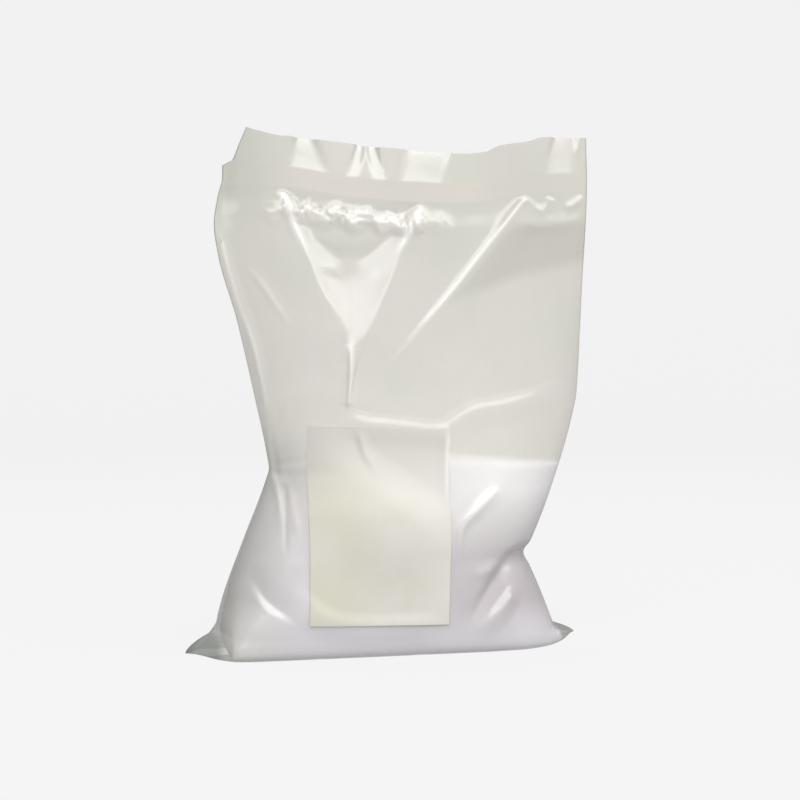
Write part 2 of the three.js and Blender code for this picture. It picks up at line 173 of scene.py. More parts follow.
# Creases, as paths of (x, z). A fold is a crest, or a valley where rise is negative. Its flanks
# reach this far to the left and to the right of the path. Rise and reach go from one value at the
# start of the path to another at its end, and sharp is the radius of the crest. A shelf is a step
# outwards on the left of its path, or on the right where step is negative, and drifts back. White
# is the strength of a painted highlight along a crease, and wide its width in mm.
apex = (-31, 133.8)  # where the main creases of the front meet
frontFolds = [
    # the long crest from the weld down to the apex
    {"path": [(80, 254), (71, 243.5), (62, 232.5), (49, 217.5), (32, 198), (15.6, 180.6),
              (0, 164), (-12, 153)], "rise": (1.5, 0.5), "left": (24, 10), "right": (4, 2.2),
     "fade": (0.03, 0.4), "sharp": 0.3, "white": 0.6},
    {"path": [(80, 254), (71, 243.5), (62, 232.5), (49, 217.5)],
     "rise": (1.9, 0.9), "left": (16, 10), "right": (6.5, 3.5), "fade": (0.05, 0.6), "sharp": 0.5},
    # the funnel's rims, out of the weld
    {"path": [(-63, 253), (-60, 246), (-57.2, 236), (-53, 225), (-48, 213)],
     "rise": (1.3, 0.3), "left": (7, 7), "right": (5, 5), "fade": (0.1, 0.4), "sharp": 0.5,
     "white": 0.8, "wide": 2.1},
    {"path": [(17, 249), (12, 237), (6, 226), (0, 215)],
     "rise": (1.1, 0.3), "left": (7, 7), "right": (5, 5), "fade": (0.25, 0.4), "sharp": 0.5,
     "white": 0.8, "wide": 2.1},
    # along the left edge
    {"path": [(-98, 234), (-93, 210), (-87, 189), (-80, 168), (-75, 145), (-71, 118), (-68.5, 98),
              (-67, 78), (-67.5, 52)],
     "rise": (1.8, 1.2), "left": (5, 6), "right": (7, 1.8), "fade": (0.1, 0.15), "sharp": 0.4,
     "white": 1},
    {"path": [(-83, 211), (-75, 201), (-66, 187), (-58, 175)],
     "rise": (0.7, 0.5), "left": (5, 5), "right": (4, 4), "fade": (0.4, 0.4), "sharp": 0.4,
     "white": 0.5},
    # down the middle of the funnel
    {"path": [(-23.3, 211), (-24.6, 189), (-26.3, 172), (-28, 156)],
     "rise": (0.5, 0.3), "left": (2.5, 2), "right": (2.5, 2), "fade": (0.6, 0.3), "sharp": 0.5},
    {"path": [(-26.5, 174), (-28, 160), (-29.5, 146), (-31, 132)],
     "rise": (1.0, 1.6), "left": (5, 4.5), "right": (5, 4), "fade": (0.4, 0.08), "sharp": 0.4,
     "white": 0.6},
    # right of the label
    {"path": [(54, 91), (49.6, 87), (43.6, 82.5), (37, 77), (30.9, 71.9), (27.2, 67.5),
              (26.4, 60), (26.6, 48)],
     "rise": (2.8, 0.8), "left": (9, 3), "right": (7, 2.5), "fade": (0.35, 0.3), "sharp": 0.6,
     "white": 0.4},
    # from the notch at the right down to the foot
    {"path": [(80, 49), (72, 52), (64, 51.3), (56.7, 47.6), (45.6, 36), (35, 22.3), (28.7, 11.7)],
     "rise": (-3.4, -3.6), "left": (22, 12), "right": (5.5, 6), "fade": (0, 0.4), "sharp": 0.5},
    {"path": [(50, 48), (42, 43), (34, 40)],
     "rise": (0.9, 0.7), "left": (4, 4), "right": (5, 5), "fade": (0.3, 0.4), "sharp": 0.6},
    # at the lower left
    {"path": [(-86, 48), (-82, 40), (-78, 33), (-72.5, 27.5), (-66.5, 23.5), (-59.5, 19)],
     "rise": (-1.5, -1.5), "left": (12, 12), "right": (3.2, 2.8), "fade": (0.4, 0.35),
     "sharp": 0.7},
    {"path": [(-26, 121), (-24, 110), (-20.5, 102), (-15, 95)],
     "rise": (1.2, 1.0), "left": (5, 9), "right": (3, 4), "fade": (0.2, 0.6), "sharp": 0.4},
    # down the right margin of the label
    {"path": [(22.8, 124), (22.2, 112), (21, 100), (20, 88), (18.6, 78)],
     "rise": (1.0, 0.8), "left": (3, 3), "right": (6, 6), "fade": (0.25, 0.35), "sharp": 0.4,
     "white": 0.8},
    # left of the label
    {"path": [(-64, 92), (-64.8, 76), (-66.4, 52)],
     "rise": (-0.8, -0.8), "left": (1.6, 1.6), "right": (5, 5), "fade": (0.1, 0.3), "sharp": 0.2},
    {"path": [(-61.6, 93), (-60.6, 76), (-60, 62)],
     "rise": (0.3, 0.3), "left": (2.5, 2.5), "right": (3, 3), "fade": (0.2, 0.4),
     "sharp": 0.5, "white": 0.35},
    # the film bellies out under the right end of the weld
    {"path": [(50, 228), (78, 235), (114, 239)],
     "rise": (0.4, 1.3), "left": (12, 12), "right": (34, 46), "fade": (0.5, 0), "sharp": 2},
    # small arcs under the right end of the weld
    {"path": [(70, 239), (80, 236), (90, 235.5), (103, 238), (114, 243)],
     "rise": (1.0, 1.0), "left": (8, 8), "right": (6, 6), "fade": (0.3, 0.3), "sharp": 0.5},
    {"path": [(116, 254), (108, 249), (101, 245)],
     "rise": (1.8, 1.2), "left": (5, 4), "right": (5, 4), "fade": (0.1, 0.4), "sharp": 0.5},
    {"path": [(94, 253), (91, 247), (84, 243)],
     "rise": (1.2, 0.9), "left": (5, 4), "right": (4, 4), "fade": (0.1, 0.4), "sharp": 0.5},
]
frontShelves = [
    {"path": [(105, 145), (91, 146.3), (73, 142), (57, 138.5), (38, 135), (26, 129), (19.9, 125.6),
              (11.4, 125.4), (1.6, 126.6), (-10.8, 127.8), (-22.9, 129.4), apex],
     "step": 1.0, "run": 6, "fade": (0.3, 0.1), "white": 0.25},
    {"path": [(42, 70), (30, 77), (18, 87), (6, 96), (-6, 104), (-17, 111), (-26, 121), apex],
     "step": 4.4, "run": 24, "fade": (0.3, 0.4)},
    # the crest beside the valley at the lower right
    {"path": [(57, 36.5), (51.4, 31), (47.3, 27.2), (41, 21.2), (35.3, 15.6), (28.2, 9.9)],
     "step": 2.2, "run": 4.6, "fade": (0.15, 0.6)},
    # the toe under the label
    {"path": [(24, 25), (-10, 24.5), (-36, 26), (-50, 33), (-56, 44)],
     "step": 1.2, "run": 7, "fade": (0.2, 0.3)},
]
backFolds = [
    {"path": [(-70, 250), (-30, 190), (0, 140)],
     "rise": (3.2, 3.2), "left": (14, 14), "right": (14, 14), "fade": (0.1, 0.8), "sharp": 0.8},
    {"path": [(85, 250), (52, 200), (4, 142)],
     "rise": (-4, -4), "left": (15, 15), "right": (15, 15), "fade": (0.1, 0.6), "sharp": 1.5},
    {"path": [(12, 252), (8, 200), (4, 150)],
     "rise": (3, 3), "left": (16, 16), "right": (16, 16), "fade": (0.1, 0.7), "sharp": 0.8},
    {"path": [(80, 49), (55, 54), (30, 44), (12, 20)],
     "rise": (-6, -6), "left": (13, 13), "right": (13, 13), "fade": (0, 0.8), "sharp": 1.6},
    {"path": [(-72, 98), (-50, 92), (-22, 102)],
     "rise": (-4, -4), "left": (12, 12), "right": (12, 12), "fade": (0, 0.8), "sharp": 1.6},
]
backShelves = [{"path": [(-80, 128), (-30, 136), (20, 124), (100, 138)],
                "step": 3.4, "run": 14, "fade": (0.2, 0.2)}]
# The pinched funnel under the weld: its left and right rims against height, and how far its floor
# lies behind them.
funnel = {
    "leftRim": through((128, -32.5), (134, -32), (158, -30.6), (172, -32.5), (186, -37), (194, -41.5),
                       (214, -49.5), (227, -54.5), (240, -59), (252, -62)),
    "rightRim": through((128, -29), (134, -29.4), (143, -28.2), (156.5, -24), (166, -20), (177.5, -14.5),
                        (189, -10), (211.4, -0.2), (221, 4), (233, 11), (246.5, 16), (252, 18)),
    "floor": through((128, 0), (136, 1), (150, 1.4), (165, 0.6), (209, -6.6), (214, -6.6),
                     (224, -3.8), (238, -2.6), (251, -0.5)),
    "cupped": 7,  # the floor turns this much higher at the rims than in the middle
    "flankSlope": 0.38,
    "leastDepth": 0.3, "softening": 0.25,  # the foot of each flank is rounded by this share
    "flatAbove": (202, 212),  # the floor is round below this height and flat above it
}


def fading(along, ends):
    start = eased(along, 0, ends[0]) if ends[0] else 1
    return start * (eased(1 - along, 0, ends[1]) if ends[1] else 1)


def addNear(relief, crease, x, z, reach, form):  # adds a form where the crease can reach
    line = rounded(crease["path"])
    low, high = line.min(0) - reach, line.max(0) + reach
    near = (x > low[0]) & (x < high[0]) & (z > low[1]) & (z < high[1])
    if near.any():
        relief[near] += form(*nearestOn(line, x[near], z[near]))


creaseForm = {
    "sag": 1.6,  # power of a fold's flanks, so that they sag below a straight line to the crest
    "margin": 2,
    "drift": 3,  # a shelf has drifted back after this many times its run
}


def creases(folds, shelves, x, z):
    relief = np.zeros(x.shape)
    for crease in folds:
        def fold(off, side, along, crease=crease):
            start = np.where(side > 0, crease["left"][0], crease["right"][0])
            end = np.where(side > 0, crease["left"][1], crease["right"][1])
            reach = start + (end - start) * along
            rise = crease["rise"][0] + (crease["rise"][1] - crease["rise"][0]) * along
            soft = np.hypot(off, crease["sharp"]) - crease["sharp"]
            flank = np.clip(1 - soft / reach, 0, 1) ** creaseForm["sag"]
            return rise * fading(along, crease["fade"]) * flank
        widest = max(crease["left"] + crease["right"])
        addNear(relief, crease, x, z, widest + creaseForm["margin"], fold)
    for crease in shelves:
        def shelf(off, side, along, crease=crease):
            run, outer = crease["run"], np.sign(crease["step"])
            drift = eased(off, 0, run) * (1 - eased(off, run, creaseForm["drift"] * run))
            step = abs(crease["step"]) * fading(along, crease["fade"]) * drift
            return np.where(side * outer > 0, step, 0)
        addNear(relief, crease, x, z, creaseForm["drift"] * crease["run"], shelf)
    return relief


creaseHighlightLines = {
    "width": 1.2, "reach": 4,  # mm to each side of a sharp crest
    "pleatMost": 4, "pleatShare": 0.14,  # painted highlight for each mm that a pleat stands out, up to 4
}


def paintedCreaseHighlight(x, z):  # painted highlight: how near a point is to a sharp crease or a standing pleat
    white = np.zeros(x.shape)
    for crease in frontFolds + frontShelves:
        if "white" in crease:
            def line(off, side, along, crease=crease):
                width = crease.get("wide", creaseHighlightLines["width"])
                return crease["white"] * fading(along, crease["fade"]) * np.exp(-(off / width) ** 2)
            addNear(white, crease, x, z, creaseHighlightLines["reach"], line)
    onPleats = np.clip(puckers(x, z), 0, creaseHighlightLines["pleatMost"]) * creaseHighlightLines["pleatShare"]
    return np.clip(white + onPleats, 0, 1)


def funnelDent(x, z):
    left, right = funnel["leftRim"](z), funnel["rightRim"](z)
    half = (right - left) / 2
    off = np.clip(np.abs(x - (left + right) / 2) / half, 0, 1)
    floor = funnel["floor"](z - funnel["cupped"] * off ** 2)
    soft = funnel["softening"]
    inwards = (1 - off) * half * funnel["flankSlope"] / np.maximum(-floor, funnel["leastDepth"])
    bend = 1 - np.clip(1 + soft - inwards, 0, 2 * soft) ** 2
    flank = np.where(inwards < 1 - soft, inwards, bend)
    upper = eased(z, *funnel["flatAbove"])
    return floor * ((1 - off ** 2) * (1 - upper) + flank * upper)


pleats = {
    "comeIn": (-65, -58), "goOut": (12, 20),  # where those over the funnel begin and end
    "leftIn": (-77, -69), "rightIn": (8, 16), "rightOut": (28, 38),  # and the weaker ones beside
    "besideShare": 0.3,
    "lean": 0.5, "leanWidth": 16,  # each runs down a little aslant
    "width": 7, "fineWidth": 4, "fineShare": 1.2,
    "length": 12.5, "lengthVaries": 5, "lengthWidth": 9, "runOut": 9,
    "swelling": 2.5, "height": 1.8,  # the common swelling, and the pleats on it
}


def puckers(x, z):  # the film comes out of the weld in short uneven pleats over the funnel
    down = bag["weldFoot"](x) - z
    over = eased(x, *pleats["comeIn"]) * (1 - eased(x, *pleats["goOut"]))
    onLeft = eased(x, *pleats["leftIn"]) * (1 - over) * (x < 0)
    onRight = eased(x, *pleats["rightIn"]) * (1 - eased(x, *pleats["rightOut"])) * (x > 0)
    beside = pleats["besideShare"] * (onLeft + onRight)
    lean = x + pleats["lean"] * down * ripple(x, 0 * x, pleats["leanWidth"], 2.0)
    broad = np.abs(ripple(lean, 0.3 * z, pleats["width"], 7.0))
    fine = np.abs(ripple(lean, 0.9 * z, pleats["fineWidth"], 9.0))
    folded = 1 - 2 * broad - pleats["fineShare"] * fine
    varied = pleats["lengthVaries"] * ripple(x, 0 * x, pleats["lengthWidth"], 5.0)
    length = pleats["length"] + varied
    bulge = eased(down, 0, length) * (1 - eased(down, length, length + pleats["runOut"]))
    return (over + beside) * (pleats["swelling"] + pleats["height"] * folded) * bulge


def bodyPoints(face, across, level):  # face -1 is the front, across runs from -1 to 1
    left, right = bag["leftSide"](level), bag["rightSide"](level)
    x = left + (right - left) * (1 + across) / 2
    foot = bag["mouthFoot"]
    z = level + (bag["weldFoot"](x) - foot) * eased(level, foot / 2, foot)
    front, isLeft, edge = face < 0, across < 0, np.abs(across)
    power = np.where(isLeft, bag["leftPower"](level), bag["rightPower"](level))
    roundness = np.where(isLeft, bag["leftRoundness"](level), bag["rightRoundness"](level))
    swell = np.clip(1 - edge ** power, 0, 1) ** roundness
    skewed = bag["frontDepth"](level) * (1 + bag["footSkew"](level) * across)
    depth = np.where(front, skewed, bag["backDepth"](level))
    onFront = funnelDent(x, z) + puckers(x, z) + creases(frontFolds, frontShelves, x, z)
    relief = np.where(front, onFront, creases(backFolds, backShelves, x, z))
    relief += bag["unevenness"] * ripple(x, z, bag["unevennessWidth"], 3.0)
    calm = (eased(1 - edge, 0, bag["calmEdge"]) * eased(level, 0, bag["calmFoot"])
            * (1 - eased(level, foot - bag["calmWeld"], foot)))
    half = np.maximum(depth * swell + relief * calm, bag["weldedThickness"] / 2 * swell)
    ear = {key: np.where(isLeft, bag["ears"][-1][key], bag["ears"][1][key])
           for key in ("reach", "height", "root", "forward")}
    low = np.clip(level / ear["height"], 0, 1)
    thin = np.clip(half / ear["root"], 0, 1)
    slope, shoulder, root = bag["earCurve"]
    stretch = np.sign(across) * ear["reach"] * (1 - low ** slope) ** shoulder * (1 - thin ** root)
    gather = bag["mouthWave"](x) * eased(level, foot - bag["gatherHeight"], foot)
    tip = ear["forward"] * edge ** bag["earTipPower"] * (1 - eased(level, 0, bag["earTipHeight"]))
    return np.stack([x + stretch, face * half + gather - tip, z], axis=-1)


def mouthPoints(face, across, length):  # the weld and the lip, at a length of film above its foot
    lip = np.maximum(length - bag["weldBand"], 0)
    foot = bag["mouthFoot"]
    stepped = bag["lipStep"] * eased(lip, 0, bag["lipStepOver"])
    inset = stepped + bag["lipTaper"] * lip / bag["lip"]
    left = bag["leftSide"](foot + np.minimum(length, bag["weldBand"])) + inset
    x = left + (bag["rightSide"](foot + 0 * length) - left) * (1 + across) / 2
    lean = np.radians(bag["lipLean"](x))
    apart = bag["weldedThickness"] + bag["lipGap"] * eased(lip, 0, bag["lip"])
    thickness = face * apart * (1 - across ** bag["lipEdge"]) / 2
    share = lip / bag["lip"]
    lip = lip * (1 + bag["lipCut"](x) / bag["lip"])
    tipped = 0
    for (left0, left1), (right0, right1), slope, soft in bag["lipFacets"]:
        begins = left0 + (left1 - left0) * share
        ends = right0 + (right1 - right0) * share
        inside = (eased(x, begins - soft, begins + soft)
                  * (1 - eased(x, ends - soft, ends + soft)))
        tipped = tipped + slope * lip * inside
    y = bag["mouthWave"](x) + lip * np.sin(lean) + tipped + thickness
    z = bag["weldFoot"](x) + np.minimum(length, bag["weldBand"]) + lip * np.cos(lean)
    return np.stack([x, y, z], axis=-1)


def evenRings(pointsAt, heights, counts):  # rows of points at even distances round the bag
    fine = 240
    rows = []
    for face, count in zip((-1, 1), counts):
        sweep = face * np.cos(np.pi * np.arange(fine + 1) / fine)
        across, height = np.meshgrid(sweep, heights)
        line = pointsAt(face + 0 * across, across, height)
        steps = np.linalg.norm(np.diff(line, axis=1), axis=2)
        lengths = np.hstack([np.zeros((len(heights), 1)), np.cumsum(steps, axis=1)])
        chosen = [np.interp(row[-1] * np.arange(count) / count, row, sweep) for row in lengths]
        across = np.array(chosen)
        height = np.repeat(np.array(heights, float)[:, None], count, axis=1)
        rows.append(pointsAt(face + 0 * across, across, height))
    return np.concatenate(rows, axis=1)


def loftedMesh(name, rings, openTop=False):  # rings of equal length, closed round the bag
    rows, around = rings.shape[:2]
    row, column = np.meshgrid(np.arange(rows - 1), np.arange(around), indexing="ij")
    a, b = row * around + column, row * around + (column + 1) % around
    faces = np.stack([a, b, b + around, a + around], axis=-1).reshape(-1, 4).tolist()
    faces.append(list(range(around))[::-1])
    if not openTop:
        faces.append(list(range((rows - 1) * around, rows * around)))
    mesh = bpy.data.meshes.new(name)
    mesh.from_pydata((rings.reshape(-1, 3) * mm).tolist(), [], faces)
    mesh.shade_smooth()
    piece = bpy.data.objects.new(name, mesh)
    bpy.context.scene.collection.objects.link(piece)
    return piece


def addMask(piece, name, values):  # a number for each point, which the material reads
    mask = piece.data.attributes.new(name, "FLOAT", "POINT")
    whole = np.broadcast_to(values, (len(piece.data.vertices),))
    mask.data.foreach_set("value", whole.astype(np.float32))


# Materials

def addNode(tree, kind, inputs=None, **settings):  # inputs are values or the sockets they come from
    node = tree.nodes.new(kind)
    for name, value in settings.items():
        setattr(node, name, value)
    for socket, value in (inputs or {}).items():
        if isinstance(value, bpy.types.NodeSocket):
            tree.links.new(value, node.inputs[socket])
        else:
            node.inputs[socket].default_value = value
    return node


def newMaterial(name):
    material = bpy.data.materials.new(name)
    material.use_nodes = True
    material.node_tree.nodes.clear()
    return material, material.node_tree


# Low-density polythene, blown and left milky: a soft even veil over what lies behind, with a
# wet-looking gloss that draws every crease, and painted highlights along the sharpest of them. Its
# draw streaks run up the bag. The weld is pressed between ribbed jaws, so it is a little duller, and
# the corners at the foot are folded double, denser and painted darker as shade. Other parts of the
# film carry painted light and shade in their colour too.
filmFinish = {
    "colour": "#dad6cb", "greenish": "#d3d6c8", "pinkish": "#e2d8d6", "patch": 55,
    "corner": "#c2c3b4",  # painted shade, greyer towards the top and most at the left
    # painted shade below the long crease
    "belowCreaseShade": "#c6c3b7",
    # where powder lies against the inside, with painted light and shade: lighter at the top, darker at
    # the left, greyer lower down and darkest at the lower right
    "dustLitTop": "#f5f4f2", "dustShadedTopLeft": "#d8d6d0", "dustEdge": "#cdcdc6",
    "dustLeft": "#e4e1e3", "dustShadedRight": "#bcb4b5", "dustShadedFoot": "#dad7dc",
    # painted shade, denser and darker, at the left around the powder's top
    "leftWaistShade": "#d9d8d2", "leftWaistOpacity": 0.88,
    "dustOpacity": 0.62, "opacity": 0.56, "streakOpacity": 0.006, "roughness": 0.19,
    "ior": 1.9,  # polythene has 1.5, and this is raised towards the photo's highlights
    # painted highlights along the sharpest creases and pleats
    "creaseHighlightColour": "#fbf9f2", "creaseHighlightOpacity": 0.92,
    "streak": 5,  # mm between draw streaks, drawn coarser than the real half millimetre
    "streaksUp": 14,  # and this many to a metre of the bag's height
    "crinkle": 11, "crinkleDepth": 0.35,  # mm, the faint handling creases between the folds
    "weldColour": "#dfd8cf", "weldOpacity": 0.6, "weldRoughness": 0.25, "weldRib": 1.4,
    # the folded corners: denser, and painted darker as shade
    "earShadeColour": "#9ea29b", "earOpacity": 0.8,
}
filmPlaces = {  # where each tint runs, in metres along an axis, and its share at either end
    "leftwards": ("X", -0.1, -0.03, 1, 0.3), "upwards": ("Z", 0.16, 0.26, 0, 1),
    "litUpwards": ("Z", 0.042, 0.088, 0, 1), "rightwards": ("X", -0.03, 0.05, 0, 1),
    "atFoot": ("Z", 0.008, 0.026, 1, 0), "atEdge": ("X", -0.09, -0.06, 1, 0),
}
filmMaterial, tree = newMaterial("milky blown polythene film")
weldMask = addNode(tree, "ShaderNodeAttribute", attribute_name="weld").outputs["Fac"]
earMask = addNode(tree, "ShaderNodeAttribute", attribute_name="ear").outputs["Fac"]
creaseHighlightMask = addNode(tree, "ShaderNodeAttribute", attribute_name="crease").outputs["Fac"]
dustMask = addNode(tree, "ShaderNodeAttribute", attribute_name="dust").outputs["Fac"]
leftWaistShadeMask = addNode(tree, "ShaderNodeAttribute", attribute_name="leftWaistShade").outputs["Fac"]
belowCreaseShadeMask = addNode(tree, "ShaderNodeAttribute", attribute_name="belowCreaseShade").outputs["Fac"]
place = addNode(tree, "ShaderNodeTexCoord").outputs["Object"]

patches = addNode(tree, "ShaderNodeTexNoise", {
    "Vector": place, "Scale": 1000 / filmFinish["patch"], "Detail": 3, "Roughness": 0.6})
tint = addNode(tree, "ShaderNodeMapRange", {
    "Value": patches.outputs["Fac"], "From Min": 0.35, "From Max": 0.65, "To Min": 0, "To Max": 1})
tinted = addNode(tree, "ShaderNodeMix", {
    0: tint.outputs[0], 6: toLinear(filmFinish["greenish"]), 7: toLinear(filmFinish["pinkish"])},
    data_type="RGBA")
toned = addNode(tree, "ShaderNodeMix", {
    0: 0.5, 6: toLinear(filmFinish["colour"]), 7: tinted.outputs[2]}, data_type="RGBA")
axes = addNode(tree, "ShaderNodeSeparateXYZ", {0: place})
tints = {}
for name, (axis, start, end, atStart, atEnd) in filmPlaces.items():
    tints[name] = addNode(tree, "ShaderNodeMapRange", {
        "Value": axes.outputs[axis], "From Min": start, "From Max": end,
        "To Min": atStart, "To Max": atEnd}).outputs[0]
# painted shade towards the top left
corner = addNode(tree, "ShaderNodeMath", {0: tints["leftwards"], 1: tints["upwards"]},
                 operation="MULTIPLY")
shadedUpperLeft = addNode(tree, "ShaderNodeMix", {
    0: corner.outputs[0], 6: toned.outputs[2], 7: toLinear(filmFinish["corner"])},
    data_type="RGBA")
shadedBelowCrease = addNode(tree, "ShaderNodeMix", {
    0: belowCreaseShadeMask, 6: shadedUpperLeft.outputs[2], 7: toLinear(filmFinish["belowCreaseShade"])}, data_type="RGBA")
welded = addNode(tree, "ShaderNodeMix", {
    0: weldMask, 6: shadedBelowCrease.outputs[2], 7: toLinear(filmFinish["weldColour"])},
    data_type="RGBA")
# painted light and shade over the powder: lighter at the top, darker at the left edge, greyer lower down
# and darkest at the lower right
low = addNode(tree, "ShaderNodeMix", {
    0: tints["rightwards"], 6: toLinear(filmFinish["dustLeft"]),
    7: toLinear(filmFinish["dustShadedRight"])}, data_type="RGBA")
lowest = addNode(tree, "ShaderNodeMix", {
    0: tints["atFoot"], 6: low.outputs[2], 7: toLinear(filmFinish["dustShadedFoot"])},
    data_type="RGBA")
upper = addNode(tree, "ShaderNodeMix", {
    0: tints["rightwards"], 6: toLinear(filmFinish["dustShadedTopLeft"]),
    7: toLinear(filmFinish["dustLitTop"])}, data_type="RGBA")
dustLitAbove = addNode(tree, "ShaderNodeMix", {
    0: tints["litUpwards"], 6: lowest.outputs[2], 7: upper.outputs[2]}, data_type="RGBA")
dust = addNode(tree, "ShaderNodeMix", {
    0: tints["atEdge"], 6: dustLitAbove.outputs[2], 7: toLinear(filmFinish["dustEdge"])},
    data_type="RGBA")
dusted = addNode(tree, "ShaderNodeMix", {
    0: dustMask, 6: welded.outputs[2], 7: dust.outputs[2]}, data_type="RGBA")
shadedLeftWaist = addNode(tree, "ShaderNodeMix", {
    0: leftWaistShadeMask, 6: dusted.outputs[2], 7: toLinear(filmFinish["leftWaistShade"])}, data_type="RGBA")
earShaded = addNode(tree, "ShaderNodeMix", {
    0: earMask, 6: shadedLeftWaist.outputs[2], 7: toLinear(filmFinish["earShadeColour"])}, data_type="RGBA")
filmColour = addNode(tree, "ShaderNodeMix", {
    0: creaseHighlightMask, 6: earShaded.outputs[2], 7: toLinear(filmFinish["creaseHighlightColour"])}, data_type="RGBA")

stretched = addNode(tree, "ShaderNodeMapping", {
    "Vector": place, "Scale": (1000 / filmFinish["streak"], 1000 / filmFinish["streak"],
                                    filmFinish["streaksUp"])})
streaks = addNode(tree, "ShaderNodeTexNoise", {
    "Vector": stretched.outputs[0], "Scale": 1, "Detail": 2, "Roughness": 0.5})
veil = addNode(tree, "ShaderNodeMapRange", {
    "Value": streaks.outputs["Fac"], "From Min": 0.3, "From Max": 0.7,
    "To Min": filmFinish["opacity"] - filmFinish["streakOpacity"],
    "To Max": filmFinish["opacity"] + filmFinish["streakOpacity"]})
weldVeil = addNode(tree, "ShaderNodeMix", {
    0: weldMask, 2: veil.outputs[0], 3: filmFinish["weldOpacity"]}, data_type="FLOAT")
dustVeil = addNode(tree, "ShaderNodeMix", {
    0: dustMask, 2: weldVeil.outputs[0], 3: filmFinish["dustOpacity"]}, data_type="FLOAT")
leftWaistVeil = addNode(tree, "ShaderNodeMix", {
    0: leftWaistShadeMask, 2: dustVeil.outputs[0], 3: filmFinish["leftWaistOpacity"]}, data_type="FLOAT")
earVeil = addNode(tree, "ShaderNodeMix", {
    0: earMask, 2: leftWaistVeil.outputs[0], 3: filmFinish["earOpacity"]}, data_type="FLOAT")
filmOpacity = addNode(tree, "ShaderNodeMix", {
    0: creaseHighlightMask, 2: earVeil.outputs[0], 3: filmFinish["creaseHighlightOpacity"]}, data_type="FLOAT")
filmRoughness = addNode(tree, "ShaderNodeMix", {
    0: weldMask, 2: filmFinish["roughness"], 3: filmFinish["weldRoughness"]}, data_type="FLOAT")

crinkles = addNode(tree, "ShaderNodeTexNoise", {
    "Vector": place, "Scale": 1000 / filmFinish["crinkle"], "Detail": 4, "Roughness": 0.55,
    "Distortion": 0.4})
crinkled = addNode(tree, "ShaderNodeBump", {
    "Height": crinkles.outputs["Fac"], "Strength": 0.5, "Distance": filmFinish["crinkleDepth"] * mm})
streaked = addNode(tree, "ShaderNodeBump", {
    "Height": streaks.outputs["Fac"], "Strength": 0.2, "Distance": 0.03 * mm,
    "Normal": crinkled.outputs[0]})
ribs = addNode(tree, "ShaderNodeTexWave", {
    "Vector": place, "Scale": 1000 / filmFinish["weldRib"] / 20, "Distortion": 0.3},
    bands_direction="Z")
ribHeight = addNode(tree, "ShaderNodeMath", {0: ribs.outputs["Fac"], 1: weldMask}, operation="MULTIPLY")
ribbed = addNode(tree, "ShaderNodeBump", {
    "Height": ribHeight.outputs[0], "Strength": 0.35, "Distance": 0.08 * mm,
    "Normal": streaked.outputs[0]})
shader = addNode(tree, "ShaderNodeBsdfPrincipled", {
    "Base Color": filmColour.outputs[2], "Roughness": filmRoughness.outputs[0],
    "IOR": filmFinish["ior"], "Alpha": filmOpacity.outputs[0], "Normal": ribbed.outputs[0]})
addNode(tree, "ShaderNodeOutputMaterial", {"Surface": shader.outputs["BSDF"]})

# Citric acid in fine crystals: nearly white and dull, with a lilac cast where it is shaded and a
# sugary grain. Real crystals are under half a millimetre, and are drawn at 1.2 mm to show.
powderFinish = {"colour": "#f2f0f1", "shade": "#e6e2e6", "roughness": 0.75, "crystal": 1.2,
                "clump": 14}
powderMaterial, tree = newMaterial("citric acid, fine crystals")
place = addNode(tree, "ShaderNodeTexCoord").outputs["Object"]
crystals = addNode(tree, "ShaderNodeTexVoronoi", {
    "Vector": place, "Scale": 1000 / powderFinish["crystal"], "Randomness": 1.0})
clumps = addNode(tree, "ShaderNodeTexNoise", {
    "Vector": place, "Scale": 1000 / powderFinish["clump"], "Detail": 5, "Roughness": 0.6})
powderTone = addNode(tree, "ShaderNodeMix", {
    0: clumps.outputs["Fac"], 6: toLinear(powderFinish["colour"]), 7: toLinear(powderFinish["shade"])},
    data_type="RGBA")
clumped = addNode(tree, "ShaderNodeBump", {
    "Height": clumps.outputs["Fac"], "Strength": 0.4, "Distance": 0.5 * mm})
grained = addNode(tree, "ShaderNodeBump", {
    "Height": crystals.outputs["Distance"], "Strength": 0.5, "Distance": 0.15 * mm,
    "Normal": clumped.outputs[0]})
shader = addNode(tree, "ShaderNodeBsdfPrincipled", {
    "Base Color": powderTone.outputs[2], "Roughness": powderFinish["roughness"],
    "Normal": grained.outputs[0]})
addNode(tree, "ShaderNodeOutputMaterial", {"Surface": shader.outputs["BSDF"]})

# Label paper, machine-coated: an ivory sheet with a low satin gloss, faintly mottled, with short
# fibres along its width. Fibres are drawn 0.8 mm thick, coarser than the real 0.03 mm. Its top
# is painted darker as shade, and its sharpest creases carry painted highlights.
labelFinish = {"colour": "#e2e0d9", "warm": "#dcd9c8", "top": "#d2d0c9", "crease": "#f2f0ea",
               "roughness": 0.46, "mottle": 24, "fibre": 0.8,
               "ior": 1.34,  # coated paper has about 1.5, and this is lowered
               "fibresAcross": 180,  # to a metre of its width
               # metres along an axis, and the share of the tint at either end
               "warmAcross": ("X", -0.045, 0.01, 0.75, 0.1), "shadedTop": ("Z", 0.085, 0.115, 0, 0.9),
               "uneven": 0.25}
labelMaterial, tree = newMaterial("ivory label paper, coated")
place = addNode(tree, "ShaderNodeTexCoord").outputs["Object"]
mottle = addNode(tree, "ShaderNodeTexNoise", {
    "Vector": place, "Scale": 1000 / labelFinish["mottle"], "Detail": 3, "Roughness": 0.55})
fibrePlace = addNode(tree, "ShaderNodeMapping", {
    "Vector": place, "Scale": (labelFinish["fibresAcross"], 1000 / labelFinish["fibre"],
                               1000 / labelFinish["fibre"])})
fibres = addNode(tree, "ShaderNodeTexNoise", {
    "Vector": fibrePlace.outputs[0], "Scale": 1, "Detail": 2, "Roughness": 0.6})
